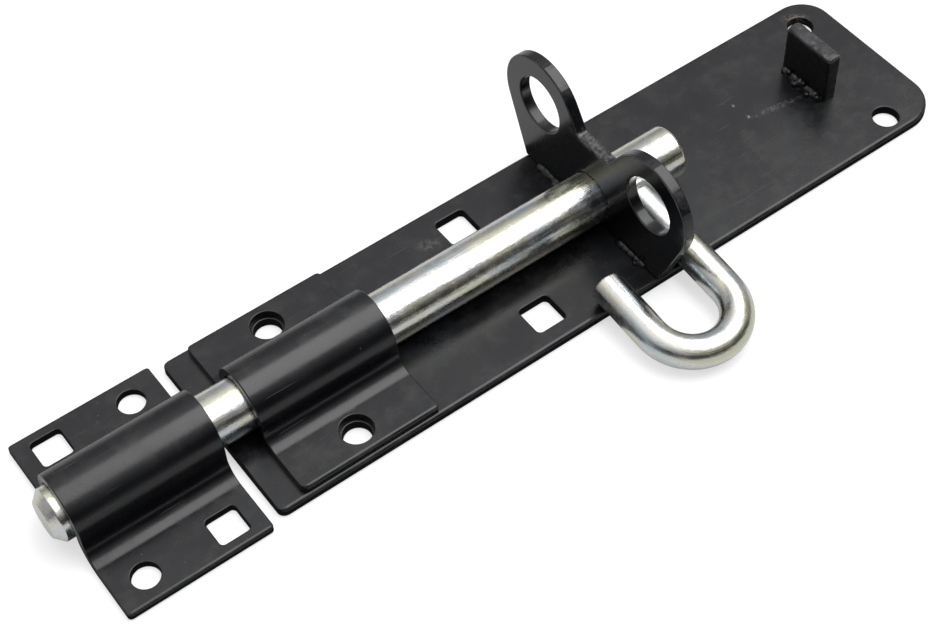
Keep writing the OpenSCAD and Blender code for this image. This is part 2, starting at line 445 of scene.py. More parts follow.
def hat_place(base_z):
    """Wraps a flat strip over the bar: u runs along the bar, v along the bent section."""
    top_z = base_z + STRAP_T
    bend_z = top_z + STRAP_BEND
    quarter = STRAP_OUT * math.pi / 2
    wall = AXIS_Z - bend_z
    bend = STRAP_BEND * math.pi / 2

    def place(uv):
        u, v = uv[:, 0], uv[:, 1]
        side, s = np.where(v < 0, -1.0, 1.0), np.abs(v)
        y, z = np.zeros_like(s), np.zeros_like(s)
        ny, nz = np.zeros_like(s), np.zeros_like(s)
        m = s <= quarter
        y[m], z[m] = STRAP_OUT * np.sin(s[m] / STRAP_OUT), AXIS_Z + STRAP_OUT * np.cos(s[m] / STRAP_OUT)
        ny[m], nz[m] = np.sin(s[m] / STRAP_OUT), np.cos(s[m] / STRAP_OUT)
        m = (s > quarter) & (s <= quarter + wall)
        y[m], z[m] = STRAP_OUT, AXIS_Z - (s[m] - quarter)
        ny[m] = 1.0
        m = (s > quarter + wall) & (s <= quarter + wall + bend)
        a = (s[m] - quarter - wall) / STRAP_BEND
        y[m], z[m] = STRAP_OUT + STRAP_BEND * (1 - np.cos(a)), bend_z - STRAP_BEND * np.sin(a)
        ny[m], nz[m] = np.cos(a), np.sin(a)
        m = s > quarter + wall + bend
        y[m], z[m] = STRAP_OUT + STRAP_BEND + (s[m] - quarter - wall - bend), top_z
        nz[m] = 1.0
        p = np.column_stack([u, side * y, z])
        n = np.column_stack([np.zeros_like(u), side * ny, nz])
        along = np.ones((len(u), 1)) * [1.0, 0, 0]
        return p, n, along, np.cross(n, along)
    place.flange = quarter + wall + bend
    place.lines = np.unique(np.round(np.concatenate([
        np.linspace(-quarter, quarter, 37), quarter + np.linspace(0, wall, 3),
        quarter + wall + np.linspace(0, bend, 13), -quarter - np.linspace(0, wall, 3),
        -quarter - wall - np.linspace(0, bend, 13)]), 5))
    return place


def flange_v(place, y):
    """Place along the strip of a point on a flange, from its distance across the plate."""
    return math.copysign(place.flange + abs(y) - STRAP_OUT - STRAP_BEND, y)


def strap(name, x0, x1, half, base_z, corner, holes):
    place = hat_place(base_z)
    end = flange_v(place, half)
    outline = fillet([(x0, -end), (x1, -end), (x1, end), (x0, end)], corner)
    loops = [outline]
    for kind, x, y, size in holes:
        v = flange_v(place, y)
        loops.append(circle(x, v, size) if kind == "round" else rect(x, v, size, 1.3))
    flat = np.arange(place.flange + 3, end, 4)
    lines = np.sort(np.concatenate([place.lines, flat, -flat]))
    return sheet(name, loops, STRAP_T, place, 1.1, 0.5, np.arange(x0 + 2, x1, 4.0), lines, rolled)


def back_plate():
    x0, x1, h = PLATE_LO[0], PLATE_HI[0], PLATE_HALF
    outline = fillet([(x0, -h), (x1, -h), (x1, h), (x0, h)], [2.5, 11.5, 10, 2.5], step=6)
    loops = [outline]
    for name in ("plate_square_near", "plate_square_far"):
        x, y, side = square_of(name, 10.0)
        loops.append(rect(x, y, side, 1.5))
    mid = centre("guide_screw_holes")
    gap = MOUNTS["guide_screw_holes"]["dims"]["spacing_y_mm"] / 2
    for side in (-1, 1):
        loops.append(circle(mid[0], side * gap, SCREW_R))
    for name in ("tail_screw_near", "tail_screw_far"):
        c = centre(name)
        loops.append(circle(c[0], c[1], SCREW_R))
    return sheet("back_plate_sheet", loops, PLATE_T, flat_place(PLATE_T), 1.3, 0.5,
                 np.arange(x0 + 3, x1, 5.0), np.arange(-h + 3, h, 5.0), rolled)


def bracket():
    c = np.array([EAR_Y, EAR_Z])
    foot = np.array([PLATE_HALF, PLATE_T])
    saddle = np.array([SADDLE_HALF, SADDLE_Z])

    def tangent(p, side):
        d = p - c
        a = math.atan2(d[1], d[0]) + side * math.acos(EAR_R / np.linalg.norm(d))
        return math.degrees(a)
    a0, a1 = tangent(foot, 1), tangent(saddle, -1)
    while a1 < a0:
        a1 += 360
    ear = arc(c[0], c[1], EAR_R, a0, a1, 5)
    bore_a = math.degrees(math.asin(NOTCH_HALF / BRACKET_BORE))
    bore = arc(0, AXIS_Z, BRACKET_BORE, -90 + bore_a, 270 - bore_a, 5)
    # (y, z) all round, starting at the notch's far side
    right = fillet([(NOTCH_HALF, PLATE_T), foot, ear[0]], [0, 0.6, 0], closed=False)
    neck = fillet([ear[-1], saddle, (0, SADDLE_Z)], [0, 1.6, 0], closed=False)[1:-1]
    half = np.vstack([right[:-1], ear, neck])
    mirror = half[::-1] * [-1, 1]
    outline = np.vstack([half, mirror, bore[::-1]])
    at_notch = (np.abs(np.abs(outline[:, 0]) - NOTCH_HALF) < 0.01) & (outline[:, 1] < 5)
    outline = fillet(outline, np.where(at_notch, 0.25, 0.0))
    # the sheet's own axes are u = z and v = y, so that its top face looks along -X
    loops = [outline[:, ::-1]]
    for side in (-1, 1):
        loops.append(circle(side * EAR_Y, EAR_Z, PADLOCK_R, 72)[:, ::-1])

    def place(uv):
        n = len(uv)
        p = np.column_stack([np.full(n, BRACKET_LO[0]), uv[:, 1], uv[:, 0]])
        one = np.ones((n, 1))
        return p, one * [-1.0, 0, 0], one * [0, 0, 1.0], one * [0, 1.0, 0]

    def ease(k, uv, n):
        # the tongues either side of the notch are too thin for the full rounding
        return np.clip((np.hypot(uv[:, 0] - PLATE_T, uv[:, 1]) - 3) / 5, 0.3, 1)
    depth = BRACKET_HI[0] - BRACKET_LO[0]
    # the side faces, the saddle's top and the ears' rims among them, are painted a lighter grey: partly
    # rubbed paint, partly a painted highlight
    return sheet("ear_bracket_sheet", loops, depth, place, 0.55, 0.4,
                 np.arange(5, 46, 3.0), np.arange(-39, 40, 3.0), ease, 0.62)


# ---------------------------------------------------------------- pieces: lug and welds


def stop_lug():
    """A sheared block with a rough top."""
    lo, hi, r = LUG_LO, LUG_HI, 1.0
    near = r * (1 - np.cos(np.radians([0, 18, 36, 54, 72, 90])))

    def lines(a, b):
        middle = np.linspace(a + r, b - r, max(3, int((b - a - 2 * r) / 0.5)))
        return np.unique(np.round(np.concatenate([a + near, middle, b - near]), 5))
    axes = [lines(lo[k], hi[k]) for k in range(3)]
    index, points, faces = {}, [], []

    def vertex(i, j, k):
        key = (i, j, k)
        if key not in index:
            index[key] = len(points)
            points.append(np.array([axes[0][i], axes[1][j], axes[2][k]]))
        return index[key]
    size = [len(a) - 1 for a in axes]
    for d in range(3):
        u, v = (d + 1) % 3, (d + 2) % 3
        for end in (0, size[d]):
            for i in range(size[u]):
                for j in range(size[v]):
                    quad = []
                    for du, dv in ((0, 0), (1, 0), (1, 1), (0, 1)):
                        key = [0, 0, 0]
                        key[d], key[u], key[v] = end, i + du, j + dv
                        quad.append(vertex(*key))
                    faces.append(quad if end else quad[::-1])
    out = []
    for p in points:
        low, high = lo + [r, r, -r], hi - r
        q = np.clip(p, low, high)
        d = p - q
        length = np.linalg.norm(d)
        n = d / length if length > 1e-6 else np.zeros(3)
        p = q + n * min(length, r) if length > 1e-6 else p
        up = max(n[2], 0.0)
        dent = 0.10 * (fbm(p, 0.5) + 0.4) + up * (0.30 * (fbm(p * [2.2, 0.6, 1], 0.55, 4) + 0.55))
        rise = up * 0.35 * (p[1] - lo[1]) / (hi[1] - lo[1])
        p = p - n * max(dent, 0) - np.array([0, 0, rise * 0.6])
        out.append(p)
    b = Build()
    co = np.array(out)
    wear = np.where(co[:, 2] > hi[2] - 1.6, 1.0, 0.15)
    b.add(co, [0, 0, 1], wear)
    b.faces = faces
    return b.finish("stop_lug_block", custom_normals=False)


def foot_weld(name, face_x, y0, y1, radius, spatter, seed):
    """A lumpy bead in the corner between the plate and an upright face, with its spatter of blobs."""
    b = Build()
    rows = []
    count, turns = 20, 44
    for i in range(turns + 1):
        t = i / turns
        y = y0 + 0.25 + (y1 - y0 - 0.5) * t
        end = min(t, 1 - t) * (y1 - y0)
        taper = math.sqrt(max(0.0, 1 - (1 - min(1.0, end / (radius * 0.75))) ** 2))
        ripple = 0.03 * math.cos(2 * math.pi * y / 2.3) + 0.22 * fbm([y, seed, 0], 0.21)
        size = max(0.05, radius * 0.92 * taper * (0.84 + ripple))
        pts = []
        for j in range(count):
            a = 2 * math.pi * j / count
            wobble = 1 + 0.10 * fbm([y, math.cos(a) * 2, math.sin(a) * 2 + seed], 0.6)
            pts.append([face_x + 0.3 - size * wobble * 0.97 * max(-0.25, math.cos(a)),
                        y, PLATE_T - 0.3 + size * wobble * max(-0.25, math.sin(a))])
        rows.append(b.add(np.array(pts), [0, 0, 1], 0.3))
    for p, q in zip(rows, rows[1:]):
        b.band(p, q, flip=True)
    b.faces.append(rows[0])
    b.faces.append(rows[-1][::-1])
    for k, (x, y, z, r) in enumerate(spatter):
        blob(b, (x, y, z), r, (1, 1, 0.85), seed + k)
    return fused(b.finish(name, custom_normals=False), 0.2)


# ---------------------------------------------------------------- pieces: bar and handle


def bolt_rod():
    x0, x1, r = ROD_LO[0], ROD_HI[0], BAR_R
    body = fillet([(x0, 0), (x0, r - 2.6), (x0 + 2.6, r), (x1, r), (x1, 0)],
                  [0, 0.45, 0.6, 1.2, 0], closed=False)
    profile = [body[0]]
    for a, b in zip(body, body[1:]):
        span = np.linalg.norm(b - a)
        step = 1.3 if a[0] == b[0] else 4.0
        pieces = max(1, int(span / step)) if span > 2 else 1
        profile += [a + (b - a) * k / pieces for k in range(1, pieces + 1)]
    return lathe("bolt_rod_turned", profile, AXIS_Z)


def drooped(points):
    """Turns points of the handle's level drawing down about the bar's axis."""
    c, s = math.cos(DROOP), math.sin(DROOP)
    p = np.array(points, float)
    y, z = p[:, 1].copy(), p[:, 2].copy()
    p[:, 1] = y * c - z * s
    p[:, 2] = y * s + z * c
    return p


def toggle_handle():
    """The U-shaped handle: one round bar from its saddle on the sliding bar to its free end."""
    count = 48
    phi = np.arange(count) * 2 * math.pi / count
    fit = BAR_R + 0.06
    b = Build()
    rings = []

    def ring(c, across, tangent, radius, lean, s):
        """lean is the share of the normal that points along the tangent."""
        c, across, tangent = np.array(c, float), np.array(across, float), np.array(tangent, float)
        up = np.array([0, 0, 1.0])
        d = np.cos(phi)[:, None] * across + np.sin(phi)[:, None] * up
        co = drooped(c + radius * d) + [0, 0, AXIS_Z]
        no = drooped(d * math.sqrt(max(0.0, 1 - lean * lean)) + tangent * lean)
        straight = np.column_stack([np.full(count, s), radius * np.cos(phi), radius * np.sin(phi)])
        return b.add(co, no, 0.9 * min(abs(lean), math.sqrt(max(0, 1 - lean * lean))) * 1.6, straight)

    def saddle(radius):
        y = -np.sqrt(fit ** 2 - (radius * np.sin(phi)) ** 2)
        level = np.column_stack([LEG_X + radius * np.cos(phi), y, radius * np.sin(phi)])
        straight = np.column_stack([-y, radius * np.cos(phi), radius * np.sin(phi)])
        n = drooped(np.column_stack([np.zeros(count), y, radius * np.sin(phi)]) * -1)
        return b.add(drooped(level) + [0, 0, AXIS_Z], n, 0.0, straight)
    inner = [saddle(r) for r in (1.25, 2.5, 3.75, 5.0)]
    pole = b.add(drooped([[LEG_X, -fit, 0]]) + [0, 0, AXIS_Z], [0, 1, 0], 0.0, [fit, 0, 0])[0]
    b.fan(inner[0], pole)
    for p, q in zip(inner, inner[1:]):
        b.band(q, p)
    # the attached leg runs along -Y; "across" points away from the loop's inside
    leg = [LEG_START + (BEND_Y - LEG_START) * k / 10 for k in range(10)]
    for v in leg:
        rings.append(ring((LEG_X, v, 0), (1, 0, 0), (0, -1, 0), HANDLE_R, 0, -v))
    length = -BEND_Y
    mid_x = (LEG_X + FREE_X) / 2
    for k in range(33):
        a = math.pi * k / 32
        c = (mid_x + BEND_R * math.cos(a), BEND_Y - BEND_R * math.sin(a), 0)
        rings.append(ring(c, (math.cos(a), -math.sin(a), 0), (-math.sin(a), -math.cos(a), 0),
                          HANDLE_R, 0, length + BEND_R * a))
    length += BEND_R * math.pi
    edge = TIP_ROUND
    run = FREE_START - edge - BEND_Y
    for k in range(1, 6):
        v = BEND_Y + run * k / 5
        rings.append(ring((FREE_X, v, 0), (-1, 0, 0), (0, 1, 0), HANDLE_R, 0, length + run * k / 5))
    for a in (18, 36, 54, 72, 90):
        c, s = math.cos(math.radians(a)), math.sin(math.radians(a))
        rings.append(ring((FREE_X, FREE_START - edge + edge * s, 0), (-1, 0, 0), (0, 1, 0),
                          HANDLE_R - edge + edge * c, s, length + run + edge * s))
    for r in (4.0, 3.0, 2.0, 1.0):
        rings.append(ring((FREE_X, FREE_START, 0), (-1, 0, 0), (0, 1, 0), r, 1,
                          length + run + edge + 4 - r))
    b.band(rings[0], inner[-1])
    for p, q in zip(rings, rings[1:]):
        b.band(q, p)
    tip = b.add(drooped([[FREE_X, FREE_START, 0]]) + [0, 0, AXIS_Z], drooped([[0, 1, 0]]), 0.0,
                [length + run + edge + 4, 0, 0])[0]
    b.fan(rings[-1], tip)
    return b.finish("toggle_handle_bar")


def handle_weld():
    """Rippled bead around the attached leg's root, kept outside the sliding bar."""
    b = Build()
    rows, around, tube = [], 96, 16
    fit = BAR_R + 0.07
    for i in range(around):
        a = 2 * math.pi * i / around
        lump = 0.05 * math.cos(17 * a) + 0.12 * fbm([math.cos(a) * 3, math.sin(a) * 3, 2.0], 0.6)
        size = 1.55 * (0.98 + lump)
        rc = 5.05
        y = -math.sqrt(fit ** 2 - (rc * math.sin(a)) ** 2) - 0.35
        pts = []
        for j in range(tube):
            w = 2 * math.pi * j / tube
            r = rc + size * math.cos(w)
            pts.append([LEG_X + r * math.cos(a), y - size * math.sin(w), r * math.sin(a)])
        pts = np.array(pts)
        reach = np.hypot(pts[:, 1], pts[:, 2])
        grow = np.maximum(1, fit / reach)
        pts[:, 1] *= grow
        pts[:, 2] *= grow
        rows.append(b.add(drooped(pts) + [0, 0, AXIS_Z], [0, 0, 1], 0.2))
    for i in range(around):
        b.band(rows[i], rows[(i + 1) % around])
    return b.finish("handle_weld_bead", custom_normals=False)


# ---------------------------------------------------------------- materials


class Tree:
    """Short names for building a material's nodes."""

    def __init__(self, name):
        self.material = bpy.data.materials.new(name)
        self.material.use_nodes = True
        self.tree = self.material.node_tree
        self.tree.nodes.clear()
        self.shader = self.tree.nodes.new("ShaderNodeBsdfPrincipled")
        out = self.tree.nodes.new("ShaderNodeOutputMaterial")
        self.link(self.shader.outputs["BSDF"], out.inputs["Surface"])
        self.place = self.tree.nodes.new("ShaderNodeTexCoord").outputs["Object"]

    def link(self, a, b):
        self.tree.links.new(a, b)

    def put(self, value, socket):
        if isinstance(value, bpy.types.NodeSocket):
            self.link(value, socket)
        elif value is not None:
            socket.default_value = value

    def attribute(self, name, kind="Fac"):
        node = self.tree.nodes.new("ShaderNodeAttribute")
        node.attribute_name = name
        return node.outputs[kind]

    def mapped(self, vector, scale=(1, 1, 1), shift=(0, 0, 0), turn=(0, 0, 0)):
        node = self.tree.nodes.new("ShaderNodeMapping")
        self.link(vector, node.inputs["Vector"])
        node.inputs["Scale"].default_value = scale
        node.inputs["Location"].default_value = shift
        node.inputs["Rotation"].default_value = turn
        return node.outputs["Vector"]

    def noise(self, vector, scale, detail=3.0, rough=0.55, warp=0.0):
        node = self.tree.nodes.new("ShaderNodeTexNoise")
        self.link(vector, node.inputs["Vector"])
        node.inputs["Scale"].default_value = scale
        node.inputs["Detail"].default_value = detail
        node.inputs["Roughness"].default_value = rough
        node.inputs["Distortion"].default_value = warp
        return node.outputs["Fac"]

    def cells(self, vector, scale, feature="F1"):
        node = self.tree.nodes.new("ShaderNodeTexVoronoi")
        node.feature = feature
        self.link(vector, node.inputs["Vector"])
        node.inputs["Scale"].default_value = scale
        return node.outputs["Distance"], node.outputs.get("Color")

    def math(self, op, a, b=None, c=None, clamp=False):
        node = self.tree.nodes.new("ShaderNodeMath")
        node.operation, node.use_clamp = op, clamp
        for value, socket in zip((a, b, c), node.inputs):
            self.put(value, socket)
        return node.outputs[0]

    def span(self, value, low, high, to_low=0.0, to_high=1.0, smooth=True):
        node = self.tree.nodes.new("ShaderNodeMapRange")
        node.interpolation_type = "SMOOTHSTEP" if smooth else "LINEAR"
        self.link(value, node.inputs["Value"])
        for v, n in zip((low, high, to_low, to_high), ("From Min", "From Max", "To Min", "To Max")):
            node.inputs[n].default_value = v
        return node.outputs["Result"]

    def mix(self, fac, a, b):
        node = self.tree.nodes.new("ShaderNodeMix")
        node.data_type = "RGBA"
        self.put(fac, node.inputs[0])
        for value, socket in ((a, node.inputs[6]), (b, node.inputs[7])):
            self.put((*value, 1) if isinstance(value, tuple) else value, socket)
        return node.outputs[2]

    def ramp(self, fac, stops):
        node = self.tree.nodes.new("ShaderNodeValToRGB")
        self.link(fac, node.inputs[0])
        ramp = node.color_ramp
        while len(ramp.elements) < len(stops):
            ramp.elements.new(0.5)
        for element, (at, colour) in zip(ramp.elements, stops):
            element.position, element.color = at, (*colour, 1)
        return node.outputs[0]

    def bump(self, height, strength, distance, after=None):
        node = self.tree.nodes.new("ShaderNodeBump")
        self.link(height, node.inputs["Height"])
        node.inputs["Strength"].default_value = strength
        node.inputs["Distance"].default_value = distance
        if after is not None:
            self.link(after, node.inputs["Normal"])
        return node.outputs["Normal"]

    def set(self, **values):
        for name, value in values.items():
            self.put(value, self.shader.inputs[name.replace("_", " ")])

    def distance_to(self, point, stretch=(1, 1, 1), turn=0.0):
        """Distance in metres from a point, measured in stretched axes."""
        node = self.tree.nodes.new("ShaderNodeVectorMath")
        node.operation = "SUBTRACT"
        self.link(self.place, node.inputs[0])
        node.inputs[1].default_value = point
        turned = self.mapped(node.outputs[0], turn=(0, 0, turn))
        scaled = self.mapped(turned, scale=stretch)
        length = self.tree.nodes.new("ShaderNodeVectorMath")
        length.operation = "LENGTH"
        self.link(scaled, length.inputs[0])
        return length.outputs["Value"]


def paint(name, rough=0.24, lumps=0.0, dust_and_sheen=1.0, rub_and_sheen=0.42, marks=()):
    """Black stoving enamel: satin, faintly uneven, lighter on what faces up from dust and a painted
    sheen, and rubbed along its edges, where stronger rubbing is partly a painted highlight.
    """
    t = Tree(name)
    wear = t.attribute("wear")
    broad = t.noise(t.place, 38, 3)
    patch = t.noise(t.mapped(t.place, shift=(3, 1, 2)), 150, 4, 0.6)
    grain = t.noise(t.place, 1500, 3, 0.6)
    base = t.ramp(broad, [
        (0.3, (0.0013, 0.0017, 0.0026)), (0.55, (0.0024, 0.0026, 0.0036)),
        (0.75, (0.0016, 0.0026, 0.0032))])
    # dust settles on what faces up in specks; the thin uneven film on what faces up is partly dust and
    # partly a painted sheen, lighter paint standing in for the light these faces catch
    facing = t.tree.nodes.new("ShaderNodeSeparateXYZ")
    normal = t.tree.nodes.new("ShaderNodeNewGeometry").outputs["Normal"]
    t.link(normal, facing.inputs[0])
    up = t.span(facing.outputs["Z"], 0.55, 1.0)
    film_dust_and_sheen = t.math("MULTIPLY", t.span(patch, 0.42, 0.75), up)
    speck_d, _ = t.cells(t.place, 420)
    specks = t.math("MULTIPLY", t.span(speck_d, 0.10, 0.04), t.span(t.noise(t.place, 90, 2), 0.56, 0.66))
    haze = t.math("MULTIPLY", film_dust_and_sheen, 0.020 * dust_and_sheen)
    haze = t.math("ADD", haze, t.math("MULTIPLY", specks, 0.16 * dust_and_sheen))
    colour = t.mix(haze, base, (0.34, 0.34, 0.33))
    # rubbed edges show greyer, thinner paint; where the rubbing is raised, as on the bracket's side
    # faces, the grey is partly a painted highlight
    ragged = t.math("ADD", wear, t.math("MULTIPLY", t.math("SUBTRACT", patch, 0.5), 1.5))
    rubbed_and_sheen = t.math("MULTIPLY", t.span(ragged, 0.62, 1.15), rub_and_sheen)
    colour = t.mix(rubbed_and_sheen, colour, (0.050, 0.050, 0.052))
    # fine scratches in two directions
    scratch = None
    for turn, shift in ((0.45, 0.0), (-0.9, 5.0), (1.45, 9.0)):
        lined = t.mapped(t.place, scale=(60, 2600, 60), shift=(shift, 0, 0), turn=(0, 0, turn))
        line = t.span(t.noise(lined, 1, 1, 0.3), 0.735, 0.80)
        scratch = line if scratch is None else t.math("MAXIMUM", scratch, line)
    scratch = t.math("MULTIPLY", scratch, t.span(t.noise(t.place, 24, 2), 0.48, 0.62))
    colour = t.mix(t.math("MULTIPLY", scratch, 0.10), colour, (0.22, 0.22, 0.22))
    for point, stretch, turn, size, share, tint in marks:
        d = t.distance_to(tuple(c * MM for c in point), stretch, turn)
        spot = t.span(d, size * MM, size * MM * 0.25)
        broken = t.span(t.noise(t.mapped(t.place, shift=point), 700, 3, 0.7), 0.40, 0.62)
        colour = t.mix(t.math("MULTIPLY", t.math("MULTIPLY", spot, broken), share), colour, tint)
    uneven = t.span(broad, 0.3, 0.7, rough - 0.03, rough + 0.05)
    uneven = t.math("ADD", uneven, t.math("MULTIPLY", patch, 0.05))
    uneven = t.math("ADD", uneven, t.math("MULTIPLY", film_dust_and_sheen, 0.06 * dust_and_sheen))
    uneven = t.math("ADD", uneven, t.math("MULTIPLY", scratch, 0.10))
    t.set(Base_Color=colour, Roughness=uneven, Metallic=0.0, IOR=1.5)
    peel = t.noise(t.mapped(t.place, shift=(1, 4, 2)), 620, 2, 0.5)
    normal = t.bump(peel, 0.25, 0.00006)
    normal = t.bump(grain, 0.22, 0.00002, normal)
    if lumps:
        crust = t.noise(t.place, 900, 4, 0.65, 0.6)
        normal = t.bump(crust, lumps, 0.00018, normal)
    t.link(normal, t.shader.inputs["Normal"])
    return t.material


def zinc(name, along=2.0, rough=0.17, dull=0.0):
    """Bright zinc plating: streaked along the bar and grained, with faint yellow, green and blue."""
    t = Tree(name)
    straight = t.attribute("straight", "Vector")
    wear = t.attribute("wear")
    streak = t.noise(t.mapped(straight, scale=(22, 620, 620)), along, 4, 0.6)
    fine = t.noise(t.mapped(straight, scale=(60, 2100, 2100)), 1.0, 3, 0.6)
    mottle = t.noise(straight, 260, 4, 0.62, 0.4)
    grain = t.noise(t.mapped(straight, scale=(0.55, 1, 1)), 1500, 3, 0.6)
    tint = t.noise(t.mapped(straight, scale=(45, 190, 190), shift=(2, 0, 1)), 1.0, 3, 0.6)
    colour = t.ramp(tint, [
        (0.30, (0.52, 0.63, 0.70)), (0.41, (0.66, 0.71, 0.72)), (0.50, (0.74, 0.735, 0.70)),
        (0.58, (0.76, 0.72, 0.56)), (0.66, (0.65, 0.69, 0.52)), (0.75, (0.56, 0.66, 0.56))])
    shade = t.math("ADD", t.math("MULTIPLY", streak, 0.5), t.math("MULTIPLY", mottle, 0.5))
    colour = t.mix(t.span(shade, 0.62, 0.38, 0.0, 0.35), colour, (0.46, 0.48, 0.47))
    speck_d, _ = t.cells(t.mapped(straight, scale=(0.6, 1, 1)), 620)
    dark = t.math("MULTIPLY", t.span(speck_d, 0.17, 0.07), t.span(mottle, 0.50, 0.62))
    colour = t.mix(t.math("MULTIPLY", dark, 0.38), colour, (0.16, 0.16, 0.15))
    colour = t.mix(t.math("MULTIPLY", wear, 0.35), colour, (0.80, 0.80, 0.79))
    if dull:
        colour = t.mix(dull, colour, (0.36, 0.35, 0.34))
    uneven = t.span(streak, 0.3, 0.7, rough - 0.05, rough + 0.09)
    uneven = t.math("ADD", uneven, t.span(mottle, 0.35, 0.7, 0.0, 0.10))
    t.set(Base_Color=colour, Roughness=uneven, Metallic=1.0)
    normal = t.bump(streak, 0.20, 0.00010)
    normal = t.bump(fine, 0.20, 0.00003, normal)
    normal = t.bump(grain, 0.50, 0.00008, normal)
    normal = t.bump(mottle, 0.22, 0.00014, normal)
    t.link(normal, t.shader.inputs["Normal"])
    return t.material


PLATE_MARKS = [
    ((79.5, -0.8, PLATE_T), (0.12, 1, 1), 0.15, 1.5, 0.17, (0.30, 0.29, 0.28)),
    ((-36, 19.6, PLATE_T), (0.6, 1, 1), 0.5, 3.0, 0.20, (0.26, 0.22, 0.18)),
    ((69.6, 7.7, PLATE_T), (1, 1, 1), 0.0, 0.8, 0.6, (0.40, 0.40, 0.38)),
    ((70.1, 1.4, PLATE_T), (1, 1, 1), 0.0, 0.9, 0.6, (0.36, 0.36, 0.34)),
    ((110, 24.5, PLATE_T), (0.5, 1, 1), 0.6, 3.0, 0.35, (0.20, 0.14, 0.09)),
]
KEEP_MARKS = [
    ((-132.4, -11.5, 18.0), (1, 1, 1), 0.0, 1.0, 0.9, (0.55, 0.55, 0.53)),
]
# painted highlight: the saddle's top face is painted lighter, standing in for the light it catches
BRACKET_PAINTED_HIGHLIGHT = [
    ((9.6, 0, SADDLE_Z), (0.3, 0.6, 4), 0.0, 9.0, 0.55, (0.13, 0.13, 0.12)),
]

# ---------------------------------------------------------------- assembly


def add(piece, material, body, slot, *nodes):
    piece.data.materials.clear()
    piece.data.materials.append(material)
    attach(piece, body)
    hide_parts(*nodes)
    return piece


plate_paint = paint("enamel_plate", 0.21, marks=PLATE_MARKS)
# the straps and the keep get a stronger film on their upward faces: partly dust, partly a painted sheen
strap_paint = paint("enamel_strap", 0.20, dust_and_sheen=1.5)
keep_paint = paint("enamel_keep", 0.22, dust_and_sheen=1.6, marks=KEEP_MARKS)
# the bracket's strong rubbing paints its side faces lighter: partly rubbed paint, partly a painted
# highlight
bracket_paint = paint("enamel_bracket", 0.16, dust_and_sheen=0.5, rub_and_sheen=0.9, marks=BRACKET_PAINTED_HIGHLIGHT)
lug_paint = paint("enamel_lug", 0.28, lumps=0.30)
weld_paint = paint("enamel_weld", 0.24, lumps=0.22, dust_and_sheen=0.4)
bar_zinc = zinc("zinc_bar")
handle_zinc = zinc("zinc_handle", 1.6, 0.21)
weld_zinc = zinc("zinc_weld", 2.0, 0.36, dull=0.35)

add(back_plate(), plate_paint, "latch_plate", "black_paint", "back_plate")
guide_mid = centre("guide_screw_holes")
guide_gap = MOUNTS["guide_screw_holes"]["dims"]["spacing_y_mm"] / 2
add(strap("front_guide_strap", GUIDE_LO[0], GUIDE_HI[0], GUIDE_HI[1], GUIDE_LO[2], [2.4, 0.9, 1.5, 1.5],
          [("round", guide_mid[0], side * guide_gap, GUIDE_HOLE_R) for side in (-1, 1)]),
    strap_paint, "latch_plate", "black_paint", "front_guide")
keep_holes = []
for name in ("keep_screw_far", "keep_screw_near"):
    c = centre(name)
    keep_holes.append(("round", c[0], c[1], MOUNTS[name]["dims"]["r_mm"]))
for name in ("keep_square_far", "keep_square_near"):
    x, y, side = square_of(name, 9.2)
    keep_holes.append(("square", x, y, side))
add(strap("bolt_keep_strap", KEEP_LO[0], KEEP_HI[0], KEEP_HALF, 0.0, [1.3] * 4, keep_holes),
    keep_paint, "keep", "black_paint", "keep_arch", "keep_flange_far", "keep_flange_near")
add(bracket(), bracket_paint, "latch_plate", "black_paint", "ear_bracket")
add(stop_lug(), lug_paint, "latch_plate", "black_paint", "stop_lug")

# weld beads: their visible radii, and where the bracket's two begin and end
EAR_BEAD_R, LUG_BEAD_R = 2.3, 2.6
BEAD_Y0, BEAD_Y1 = 11.5, 25.5
ear_face = BRACKET_LO[0]
add(foot_weld("bracket_weld_near_bead", ear_face, -BEAD_Y1, -BEAD_Y0, EAR_BEAD_R,
              [(ear_face - 1.3, -22.0, 3.4, 0.9)], 3.0),
    weld_paint, "latch_plate", "black_paint", "bracket_weld_near")
add(foot_weld("bracket_weld_far_bead", ear_face, BEAD_Y0, BEAD_Y1, EAR_BEAD_R,
              [(ear_face - 1.2, 15.6, 3.3, 0.9)], 11.0),
    weld_paint, "latch_plate", "black_paint", "bracket_weld_far")
lug_face = LUG_LO[0]
lug_blobs = [(0.6, 6.8, 4.7, 1.05), (0.6, 0.4, 4.8, 1.0), (1.8, 3.0, 3.4, 1.1), (1.7, -2.8, 3.4, 1.0),
             (0.9, -6.2, 4.2, 1.0)]
add(foot_weld("lug_weld_bead", lug_face, LUG_LO[1], LUG_HI[1], LUG_BEAD_R,
              [(lug_face - out, y, z, r) for out, y, z, r in lug_blobs], 23.0),
    weld_paint, "latch_plate", "black_paint", "lug_weld")
add(bolt_rod(), bar_zinc, "sliding_bar", "bright_zinc", "bolt_rod")
add(toggle_handle(), handle_zinc, "handle", "bright_zinc", "toggle_handle")
add(handle_weld(), weld_zinc, "handle", "bright_zinc", "handle_weld")

# ---------------------------------------------------------------- studio: floor, light, camera


# brightness of the backdrop, and of the floor where only its glow is seen
PALE = 0.97
FLOOR_HALF = 15
# half width of the black card that paints the mirrored contact shadow
SHADOW_CARD_HALF = 0.036
BACKDROP_R = 14
# how far from the object the floor is lit by the lamps, and from where it only glows
FLOOR_LIT, FLOOR_PALE = 0.45, 1.6


def plane(name, low, high, z):
    mesh = bpy.data.meshes.new(name)
    corners = [(low[0], low[1], z), (high[0], low[1], z), (high[0], high[1], z), (low[0], high[1], z)]
    mesh.from_pydata(corners, [], [(0, 1, 2, 3)])
    obj = bpy.data.objects.new(name, mesh)
    bpy.context.scene.collection.objects.link(obj)
    return obj


